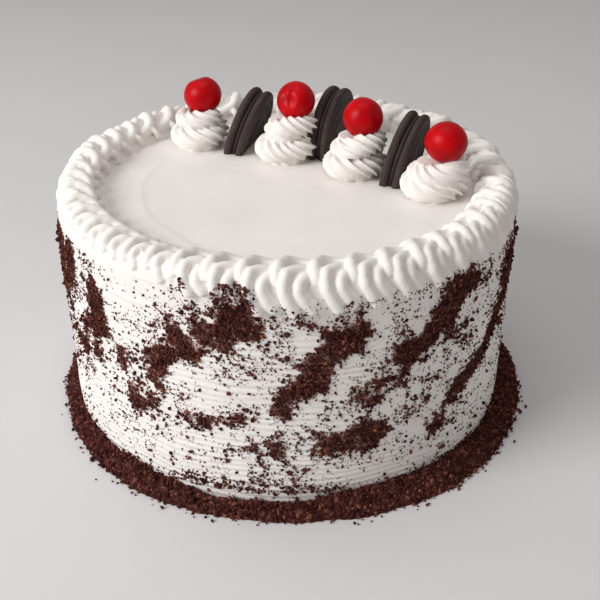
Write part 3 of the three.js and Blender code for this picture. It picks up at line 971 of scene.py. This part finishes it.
class CAKE_OT_biscuits(bpy.types.Operator):
    """Stand the chocolate sandwich biscuits between the rosettes"""

    bl_idname = "cake.biscuits"
    bl_label = "Sandwich biscuits"

    # The rim: how many crimps, how deep they are and how far its edges are rounded
    TEETH = 88
    CRIMP = 0.36
    ROUND = 1.75
    # The steps of the face, inwards from its rim: width of the step and how far the face sinks or rises
    FACE_STEPS = [
        (1.9, 0), (0.35, -0.4), (1.1, 0), (0.35, 0.3), (1.0, 0), (0.35, -0.3),
        (4.4, 0), (0.3, 0.3), (1.1, 0), (0.3, -0.3), (2.6, 0),
    ]
    # The short rays: how far in from the rim their ring lies, half its width, how many and how high
    RAY_INSET, RAY_HALF, RAYS, RAY_HEIGHT = 7.2, 1.6, 24, 0.22

    def execute(self, context):
        settings = context.scene.cake_toppings
        offset = (settings.filling_thickness + settings.wafer_thickness) / 2 + 0.3 * MM
        for number, biscuit in enumerate(BISCUITS, 1):
            place = self.place(biscuit)
            for side, name in ((-1, "left"), (1, "right")):
                wafer = self.wafer(settings, f"wafer_{number}_{name}", number * 2 + side)
                turn = Matrix.Rotation(0 if side > 0 else math.pi, 4, "X")
                wafer.data.transform(place @ Matrix.Translation((0, 0, side * offset)) @ turn)
                smooth_by_angle(wafer, 40)
                finish_piece(wafer, wafer_material(), "chocolate_wafer", f"biscuit_{number}_{name}_wafer")
            filling = self.filling(settings, f"filling_{number}")
            filling.data.transform(place)
            smooth_by_angle(filling, 40)
            finish_piece(filling, filling_material(), "chocolate_filling", f"biscuit_{number}_filling")
        return {"FINISHED"}

    def place(self, biscuit):
        """A biscuit's own frame, in which Z runs through its faces."""
        x, y, lift, turn_deg, lean_deg = biscuit
        turn, lean = math.radians(turn_deg), math.radians(lean_deg)
        out = Vector((math.cos(lean) * math.cos(turn), -math.cos(lean) * math.sin(turn), -math.sin(lean)))
        middle = Vector((x, y, TOP + lift)) * MM
        return Matrix.Translation(middle) @ Vector((0, 0, 1)).rotation_difference(out).to_matrix().to_4x4()

    def wafer(self, settings, name, seed):
        """A wafer with a rounded, finely crimped rim, and rings and short rays on its face."""
        radius, thick = settings.wafer_radius, settings.wafer_thickness
        clear_selection()
        bpy.ops.mesh.primitive_cylinder_add(
            vertices=self.TEETH * 4, radius=radius, depth=thick, end_fill_type="NGON"
        )
        piece = bpy.context.object
        piece.name = piece.data.name = name
        bpy.ops.object.mode_set(mode="EDIT")
        mesh = bmesh.from_edit_mesh(piece.data)
        bpy.ops.mesh.select_all(action="DESELECT")
        for edge in mesh.edges:
            edge.select = abs(edge.verts[0].co.z - edge.verts[1].co.z) < 1e-6
        bmesh.update_edit_mesh(piece.data)
        bpy.ops.mesh.bevel(offset=self.ROUND * MM, segments=5, profile=0.5)
        mesh = bmesh.from_edit_mesh(piece.data)
        bpy.ops.mesh.select_all(action="DESELECT")
        top = max((f for f in mesh.faces if len(f.verts) > 8), key=lambda f: f.calc_center_median().z)
        top.select = True
        bmesh.update_edit_mesh(piece.data)
        for step, rise in self.FACE_STEPS:
            bpy.ops.mesh.inset(thickness=step * MM, depth=rise * MM)
        bpy.ops.object.mode_set(mode="OBJECT")
        points = points_of(piece)
        flat = np.hypot(points[:, 0], points[:, 1])
        bearing = np.arctan2(points[:, 1], points[:, 0])
        full = radius / MM
        tooth = 0.5 - 0.5 * np.cos(bearing * self.TEETH)
        rim = np.clip((flat - (full - 1.9)) / 1.2, 0, 1)
        uneven = 1 + 0.5 * value_noise(points + seed * 50, 3, seed)
        pull = 1 - self.CRIMP * rim * tooth * uneven / full
        points[:, :2] *= pull[:, None]
        ring = np.clip(1 - np.abs(flat - (full - self.RAY_INSET)) / self.RAY_HALF, 0, 1)
        ray = ring * (np.cos(bearing * self.RAYS) > 0.2)
        bumps = 0.07 * value_noise(points + seed * 30, 5, seed)
        points[:, 2] += self.RAY_HEIGHT * np.sqrt(ray) * (points[:, 2] > 0) + bumps
        place_points(piece, points)
        return piece

    def filling(self, settings, name):
        """The filling, a little narrower than the wafers and bulging at its rim."""
        clear_selection()
        bpy.ops.mesh.primitive_cylinder_add(
            vertices=120,
            radius=settings.wafer_radius - 1.5 * MM,
            depth=settings.filling_thickness + 0.7 * MM,
        )
        piece = bpy.context.object
        piece.name = piece.data.name = name
        apply_modifier(piece, "BEVEL", width=0.8 * MM, segments=4)
        points = points_of(piece)
        flat = np.hypot(points[:, 0], points[:, 1])
        points[:, :2] *= (1 + 0.012 * value_noise(points, 4, len(name)) * (flat > 10))[:, None]
        place_points(piece, points)
        return piece


def smooth_by_angle(piece, angle):
    choose(piece)
    bpy.ops.object.shade_smooth_by_angle(angle=math.radians(angle))


# Crumbs

# The share of crumbs that are tan
TAN_SHARE = 0.006


def crumb_shapes(draw, rough):
    """A few crumb shapes, each dented its own way: rocks of twenty faces, or plain specks of eight."""
    clear_selection()
    bpy.ops.mesh.primitive_ico_sphere_add(subdivisions=1, radius=1)
    start = bpy.context.object
    points = np.array([v.co[:] for v in start.data.vertices])
    faces = np.array([p.vertices[:] for p in start.data.polygons])
    bpy.data.objects.remove(start)
    if not rough:
        points = np.array([(1, 0, 0), (-1, 0, 0), (0, 1, 0), (0, -1, 0), (0, 0, 1), (0, 0, -1)], float)
        round_it = [(0, 2), (2, 1), (1, 3), (3, 0)]
        faces = np.array([(a, b, 4) for a, b in round_it] + [(b, a, 5) for a, b in round_it])
    shapes = []
    for _ in range(12):
        dented = points * draw.uniform(0.62, 1.25, (len(points), 1))
        shapes.append(dented * draw.uniform(0.7, 1.15, 3))
    return np.array(shapes), faces


def random_turns(draw, count):
    """Random rotations, as matrices."""
    q = draw.normal(size=(count, 4))
    q /= np.linalg.norm(q, axis=1, keepdims=True)
    w, x, y, z = q.T
    return np.stack(
        [
            np.stack([1 - 2 * (y * y + z * z), 2 * (x * y - z * w), 2 * (x * z + y * w)], -1),
            np.stack([2 * (x * y + z * w), 1 - 2 * (x * x + z * z), 2 * (y * z - x * w)], -1),
            np.stack([2 * (x * z - y * w), 2 * (y * z + x * w), 1 - 2 * (x * x + y * y)], -1),
        ],
        1,
    )


def crumbs_piece(name, places, radii, draw, rough=True, darkest=0.0):
    """One mesh of many crumbs, each with its own shade, from the darkest value given up to 1."""
    shapes, faces = crumb_shapes(draw, rough)
    count = len(places)
    picked = shapes[draw.integers(0, len(shapes), count)]
    turned = np.einsum("nij,nkj->nki", random_turns(draw, count), picked)
    points = turned * np.asarray(radii)[:, None, None] + np.asarray(places)[:, None, :]
    points[:, :, 2] = np.maximum(points[:, :, 2], 0)
    per = shapes.shape[1]
    all_faces = (faces[None] + (np.arange(count) * per)[:, None, None]).reshape(-1, 3)
    mesh = bpy.data.meshes.new(name)
    mesh.from_pydata((points.reshape(-1, 3) * MM).tolist(), [], all_faces.tolist())
    shade = np.repeat(darkest + (1 - darkest) * draw.beta(0.95, 1.35, count), per).astype(np.float32)
    tan = np.repeat(draw.random(count) < TAN_SHARE, per)
    shade[tan] = 1.0
    keep_value(mesh, "shade", shade)
    piece = bpy.data.objects.new(name, mesh)
    bpy.context.scene.collection.objects.link(piece)
    return finish_piece(piece, crumb_material(), "chocolate_crumb")


class CAKE_OT_side_crumbs(bpy.types.Operator):
    """Press the chocolate crumbs into the side, thickest in the streaks"""

    bl_idname = "cake.side_crumbs"
    bl_label = "Crumbs on the side"

    CANDIDATES = 320000
    MOST_FACES = 196000
    # The usual radius of a speck, in mm
    SPECK = 0.28
    # The darkest shade of the specks and fine crumbs
    SMALL_DARKEST = 0.25
    # Where the aiming lines start and how far they go, in metres
    AIM_START, AIM_REACH = 0.125, 0.034
    # Each kind's spread of sizes, how many lie on a square mm where the cover is thick, loose, sparse and
    # at the foot, how high they stack in radii, and the faces of one crumb
    KINDS = {
        "specks": (0.2, (0.8, 0.75, 0.11, 0.5), 0.3, 8),
        "fine": (0.24, (1.45, 0.62, 0.05, 0.8), 0.9, 8),
        "coarse": (0.28, (0.66, 0.15, 0.014, 0.35), 0.8, 20),
    }

    def execute(self, context):
        settings = context.scene.cake_crumbs
        draw = np.random.default_rng(settings.seed)
        count = self.CANDIDATES
        bearing = draw.uniform(-180, 180, count)
        height = draw.uniform(1.2, TOP + 4, count)
        per_candidate = 2 * math.pi * WALL * (TOP + 2.8) / count
        dense, halo = crumb_cover(bearing, height)
        places = ring_points(np.radians(bearing), np.full(count, WALL), height)
        patches = (BROAD_PATCHES, MIDDLE_PATCHES, SMALL_PATCHES)
        broad, middle, small = (value_noise(places, *patch) for patch in patches)
        thick = np.clip((dense - 0.36 + 0.5 * broad + 0.5 * middle + 0.45 * small) * 1.9, 0, 1)
        loose = halo * np.clip(0.7 + 1.4 * broad + 1.1 * middle + 0.5 * small, 0, 2.6)
        sparse = np.clip(0.9 + broad + middle, 0.05, 2.4) * np.clip((TOP + 6 - height) / 24, 0.1, 1)
        strip = strip_share(bearing)
        band = np.exp(-(((height - 4 - 4.4 * strip) / 2.4) ** 2))
        foot = band * np.clip(0.8 + middle + small, 0, 1.4) * (1 + 1.6 * strip)
        open_wall = (height < TOP - 3) | (dense > 0.45)
        open_wall &= (strip < 0.5) | (np.abs(height - 5 - 0.5 * middle) > 0.8)
        surface = self.surface()
        radius_of = {"specks": self.SPECK, "fine": settings.fine / MM, "coarse": settings.coarse / MM}
        for name, (spread, weights, stack, faces) in self.KINDS.items():
            cover = sum(weight * share for weight, share in zip(weights, (thick, loose, sparse, foot)))
            kept = np.flatnonzero((draw.random(count) < cover * per_candidate) & open_wall)
            kept = kept[: self.MOST_FACES // faces]
            spots, share = self.on_cream(surface, bearing[kept], height[kept], thick[kept])
            radii = radius_of[name] * np.exp(draw.normal(0, spread, len(spots)))
            lift = (0.15 + stack * share * draw.random(len(spots))) * radii
            flat = np.hypot(spots[:, 0], spots[:, 1])
            spots[:, :2] *= ((flat + lift) / flat)[:, None]
            rough = name == "coarse"
            darkest = 0 if rough else self.SMALL_DARKEST
            crumbs_piece(f"side_crumbs_{name}", spots, radii, draw, rough, darkest)
        return {"FINISHED"}

    def on_cream(self, surface, bearings, heights, shares):
        """Where a level line from outside meets the cream, for each bearing and height."""
        spots, kept = [], []
        for b, z, share in zip(np.radians(bearings), heights, shares):
            start = Vector((self.AIM_START * math.cos(b), self.AIM_START * math.sin(b), z * MM))
            inward = Vector((-math.cos(b), -math.sin(b), 0))
            hit = surface.ray_cast(start, inward, self.AIM_REACH)[0]
            if hit is not None:
                spots.append(tuple(hit))
                kept.append(share)
        return np.array(spots) / MM, np.array(kept)

    def surface(self):
        """The cream that crumbs stick to, as one tree of faces to aim at."""
        points, faces = [], []
        for name in ("cream_coat", "piped_border_front", "piped_border_back"):
            mesh = bpy.data.objects[name].data
            places = np.empty(len(mesh.vertices) * 3, np.float32)
            mesh.vertices.foreach_get("co", places)
            start = len(points)
            points += places.reshape(-1, 3).tolist()
            faces += [[start + i for i in p.vertices] for p in mesh.polygons]
        return BVHTree.FromPolygons(points, faces)


class CAKE_OT_heap(bpy.types.Operator):
    """Heap crumbs round the foot, on a core of packed crumbs"""

    bl_idname = "cake.heap"
    bl_label = "Crumbs round the foot"

    COLUMNS = 760
    # The heap's section: share of its reach outwards, and height in mm
    SECTION = [
        (0.02, 0), (0.02, 4.4), (0.1, 5.2), (0.22, 5.2), (0.36, 4.7),
        (0.5, 4.1), (0.64, 3.3), (0.78, 2.3), (0.9, 1.2), (0.97, 0),
    ]
    GAP_OUT = 1.6
    # The heap's lumps: height and width in mm
    LUMPS = [(0.8, 1.6), (1.3, 4.5), (0.8, 13)]
    # The loose crumbs: usual radius, spread of sizes and the share that rolled off
    RADIUS, SPREAD, ROLLED = 0.66, 0.36, 0.045

    def reach(self, bearing):
        """How far the heap reaches out from the wall, as lopsided as it was poured."""
        places = ring_points(bearing, np.full(len(bearing), WALL), np.zeros(len(bearing)))
        ragged = 0.9 * value_noise(places, 9, 21) + 0.6 * value_noise(places, 3, 22)
        return 9.2 + 2.8 * np.cos(bearing + 0.6) + 0.7 * np.sin(5 * bearing) + ragged

    def section_place(self, bearing, share, height):
        """A place on the heap from its share outwards and height, moved out and lowered at the gap."""
        gap = strip_share(np.degrees(bearing))
        reach = self.reach(bearing)
        out = share * reach + self.GAP_OUT * gap * (1 - share)
        return WALL + out, height * (1 - 0.42 * gap * (share < 0.6))

    def lumps(self, points):
        """How uneven the heap is, in mm."""
        return sum(high * value_noise(points, wide, wide) for high, wide in self.LUMPS)

    def execute(self, context):
        settings = context.scene.cake_crumbs
        draw = np.random.default_rng(settings.seed + 1)
        shares, heights = np.array(self.SECTION).T
        rows = len(shares)
        core, along, around = grid_piece("crumb_heap_core", self.COLUMNS, rows)
        row = np.rint(around * rows).astype(int) % rows
        bearing = (along * 2 - 1) * math.pi
        radius, height = self.section_place(bearing, shares[row], heights[row])
        points = ring_points(bearing, radius, height)
        lumps = self.lumps(points)
        points[:, 2] = np.maximum(points[:, 2] + lumps * np.clip(points[:, 2] / 2, 0, 1), 0)
        place_points(core, points)
        close_seams(core, 1e-5)
        points = points_of(core)
        keep_value(core.data, "shade", 0.3 + 0.4 * value_noise(points, 1.2, 11))
        finish_piece(core, crumb_material(), "chocolate_crumb", "crumb_heap")
        self.loose(settings, draw)
        return {"FINISHED"}

    def loose(self, settings, draw):
        """The crumbs on top of the core, and a few that rolled off its edge."""
        count = settings.heap_count
        shares, heights = np.array(self.SECTION).T
        lengths = np.concatenate([[0], np.cumsum(np.hypot(np.diff(shares * 10), np.diff(heights)))])
        spot = draw.uniform(lengths[1] * 0.6, lengths[-1], count)
        bearing = draw.uniform(-math.pi, math.pi, count)
        share, height = (np.interp(spot, lengths, values) for values in (shares, heights))
        radius, height = self.section_place(bearing, share, height)
        rolled = draw.random(count) < self.ROLLED
        edge = WALL + self.reach(bearing)
        radius = np.where(rolled, edge + draw.exponential(1.1, count) - 0.4, radius)
        height = np.where(rolled, 0.0, height)
        radii = self.RADIUS * np.exp(draw.normal(0, self.SPREAD, count)) * np.where(rolled, 0.8, 1)
        places = ring_points(bearing, radius, height)
        bumps = self.lumps(places)
        lifted = height + bumps * np.clip(height / 2, 0, 1) + draw.uniform(-0.2, 0.55, count)
        places[:, 2] = np.maximum(lifted, radii * 0.7)
        low, high = (np.array(corner[:2]) / MM for corner in CAD_BOX)
        reach = 1.45 * radii[:, None]
        inside = np.all((places[:, :2] - reach > low) & (places[:, :2] + reach < high), axis=1)
        crumbs_piece("foot_crumbs", places[inside], radii[inside], draw)


class CAKE_OT_stage(bpy.types.Operator):
    """Set the pale floor, the soft lights and the camera"""

    bl_idname = "cake.stage"
    bl_label = "Stage"

    FLOOR_SIZE = 8
    # The lights: place, width and colour
    KEY = ((-1.15, -0.66, 0.86), 0.8, (1.0, 0.985, 0.965))
    OVERHEAD = ((-0.1, 0.1, 1.3), 1.0, (1.0, 0.99, 0.975))
    LIT_POINT = (0, 0, 0.06)
    SKY_COLOUR = (1.0, 0.955, 0.92, 1.0)

    def execute(self, context):
        settings = context.scene.cake_stage
        clear_selection()
        bpy.ops.mesh.primitive_plane_add(size=self.FLOOR_SIZE)
        floor = context.object
        floor.name = "floor"
        material, tree, shader = new_material("pale_floor", 0.6)
        mottle = add_mottle(tree, 6.0, 300.0)
        colours = context.scene.cake_colours
        darker = tuple(0.94 * c for c in colours.floor)
        mixed = mix_colours(tree, mottle.outputs["Cloud"], darker, tuple(colours.floor))
        tree.links.new(mixed, shader.inputs["Base Color"])
        floor.data.materials.append(material)
        self.lights(settings)
        self.camera(context)
        context.scene.view_settings.view_transform = "Standard"
        return {"FINISHED"}

    def lights(self, settings):
        for name, (place, size, tint), power in (
            ("key_light", self.KEY, settings.key_power),
            ("top_light", self.OVERHEAD, settings.top_power),
        ):
            lamp = bpy.data.lights.new(name, "AREA")
            lamp.shape = "DISK"
            lamp.size = size
            lamp.energy = power
            lamp.color = tint
            light = bpy.data.objects.new(name, lamp)
            light.location = place
            aim = Vector(self.LIT_POINT) - Vector(place)
            light.rotation_euler = aim.to_track_quat("-Z", "Y").to_euler()
            bpy.context.scene.collection.objects.link(light)
        world = bpy.data.worlds.new("even_light")
        world.use_nodes = True
        background = world.node_tree.nodes["Background"]
        background.inputs["Color"].default_value = self.SKY_COLOUR
        background.inputs["Strength"].default_value = settings.sky
        bpy.context.scene.world = world

    def camera(self, context):
        """The photograph's camera: where it stands, where it aims and its roll."""
        place = VIEW_DISTANCE * VIEW_UNIT * Vector((0, -math.cos(VIEW_ELEVATION), math.sin(VIEW_ELEVATION)))
        ahead = -place.normalized()
        right = Vector((1, 0, 0))
        ahead = (ahead + VIEW_AIM[0] * right + VIEW_AIM[1] * right.cross(ahead)).normalized()
        right = ahead.cross(Vector((0, 0, 1))).normalized()
        up = right.cross(ahead)
        side = math.cos(VIEW_ROLL) * right + math.sin(VIEW_ROLL) * up
        head = -math.sin(VIEW_ROLL) * right + math.cos(VIEW_ROLL) * up
        lens = bpy.data.cameras.new("camera")
        lens.sensor_width = SENSOR
        lens.lens = SENSOR * VIEW_FOCAL_PIXELS / VIEW_PIXELS
        camera = bpy.data.objects.new("camera", lens)
        turned = Matrix((side, head, -ahead)).transposed().to_4x4()
        camera.matrix_world = Matrix.Translation(place) @ turned
        context.scene.collection.objects.link(camera)
        context.scene.camera = camera


OPERATORS = (
    CAKE_OT_coat,
    CAKE_OT_border,
    CAKE_OT_rosettes,
    CAKE_OT_cherries,
    CAKE_OT_biscuits,
    CAKE_OT_side_crumbs,
    CAKE_OT_heap,
    CAKE_OT_stage,
)
SETTINGS = {
    "cake_coat": CoatSettings,
    "cake_border": BorderSettings,
    "cake_toppings": ToppingSettings,
    "cake_crumbs": CrumbSettings,
    "cake_colours": ColourSettings,
    "cake_stage": StageSettings,
}


class CAKE_PT_panel(bpy.types.Panel):
    """Lists the cake's pieces and the stage"""

    bl_idname = "CAKE_PT_panel"
    bl_label = "Black Forest Cake"
    bl_space_type = "VIEW_3D"
    bl_region_type = "UI"
    bl_category = "Cake"

    def draw(self, context):
        for operator in OPERATORS:
            self.layout.operator(operator.bl_idname)
        for name, settings in SETTINGS.items():
            box = self.layout.box()
            for key in settings.__annotations__:
                box.prop(getattr(context.scene, name), key)


def register():
    for name, settings in SETTINGS.items():
        bpy.utils.register_class(settings)
        setattr(bpy.types.Scene, name, PointerProperty(type=settings))
    for operator in OPERATORS:
        bpy.utils.register_class(operator)
    bpy.utils.register_class(CAKE_PT_panel)


def unregister():
    bpy.utils.unregister_class(CAKE_PT_panel)
    for operator in reversed(OPERATORS):
        bpy.utils.unregister_class(operator)
    for name, settings in SETTINGS.items():
        delattr(bpy.types.Scene, name)
        bpy.utils.unregister_class(settings)


def main():
    register()
    for operator in OPERATORS:
        family, name = operator.bl_idname.split(".")
        getattr(getattr(bpy.ops, family), name)()


if __name__ == "__main__":
    main()
